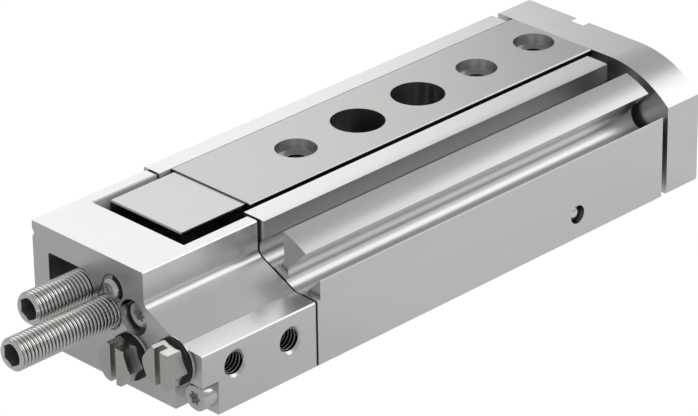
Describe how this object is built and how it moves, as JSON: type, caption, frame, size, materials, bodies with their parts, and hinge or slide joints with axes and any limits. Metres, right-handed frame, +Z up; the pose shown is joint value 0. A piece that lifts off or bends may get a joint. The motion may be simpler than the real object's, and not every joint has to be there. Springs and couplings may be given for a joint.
{
  "type": "pneumatic slide table",
  "caption": "Miniature pneumatic slide table: a ball-guided table with a yoke plate driven by a built-in cylinder, sensor slots and two adjustable stop screws.",
  "frame": {"origin": "on the base face, midway between the end cap's outer face and the housing's front end, and midway across the end cap", "axes": "+X along the travel, from the end cap to the yoke plate; +Z up from the base to the table; +Y away from the side with the air ports"},
  "size_m": [0.0955, 0.0281, 0.0153],
  "materials": {
    "housing_aluminium": "extruded, fine satin, clear anodised",
    "cap_aluminium": "milled, fine satin, clear anodised",
    "yoke_aluminium": "milled, fine satin, clear anodised",
    "ground_steel": "ground",
    "block_steel": "ground",
    "screw_steel": "satin stainless",
    "wedge_steel": "satin",
    "plug_steel": "nickel plated",
    "stop_steel": "bright thread",
    "rail_steel": "hardened and polished",
    "seal_rubber": "black",
    "cage_plastic": "black",
    "inner_aluminium": "turned",
    "magnet": "pressed ring"
  },
  "bodies": {
    "housing": {"housing": "housing_aluminium", "end_cap": "cap_aluminium", "end_cap_gasket": "seal_rubber", "end_cap_screws": "screw_steel", "clamp_wedge": "wedge_steel", "clamp_screw": "screw_steel", "blanking_plugs": "plug_steel", "plug_seals": "seal_rubber", "plug_washers": "plug_steel", "ball_plug": "rail_steel", "bearing_cap": "inner_aluminium", "rod_seal": "seal_rubber", "retaining_ring": "screw_steel", "guide_rail_near": "rail_steel", "guide_rail_far": "rail_steel", "stop_anvil": "rail_steel"},
    "table": {"slide_table": "ground_steel", "stop_block": "block_steel", "stop_block_screws": "screw_steel", "yoke_plate": "yoke_aluminium", "yoke_screws": "screw_steel", "piston_rod": "rail_steel", "piston": "inner_aluminium", "piston_seals": "seal_rubber", "piston_magnet": "magnet", "rod_nut": "screw_steel"},
    "retract_stop": {"retract_stop_screw": "stop_steel", "retract_stop_buffer": "seal_rubber"},
    "advance_stop": {"advance_stop_screw": "stop_steel", "advance_stop_buffer": "seal_rubber"},
    "ball_cages": {"ball_cage_near": "cage_plastic", "ball_cage_far": "cage_plastic", "guide_balls": "rail_steel"}
  },
  "joints": [
    {"name": "table_slide", "type": "slide", "parent": "housing", "child": "table", "axis": [1, 0, 0], "range_m": [0, 0.03]},
    {"name": "cage_slide", "type": "slide", "parent": "housing", "child": "ball_cages", "axis": [1, 0, 0], "range_m": [0, 0.015]},
    {"name": "retract_stop_adjust", "type": "slide", "parent": "housing", "child": "retract_stop", "axis": [1, 0, 0], "range_m": [-0.004, 0]},
    {"name": "advance_stop_adjust", "type": "slide", "parent": "table", "child": "advance_stop", "axis": [1, 0, 0], "range_m": [-0.004, 0]}
  ],
  "couplings": [
    {"joint": "cage_slide", "follows": "table_slide", "ratio": 0.5}
  ]
}
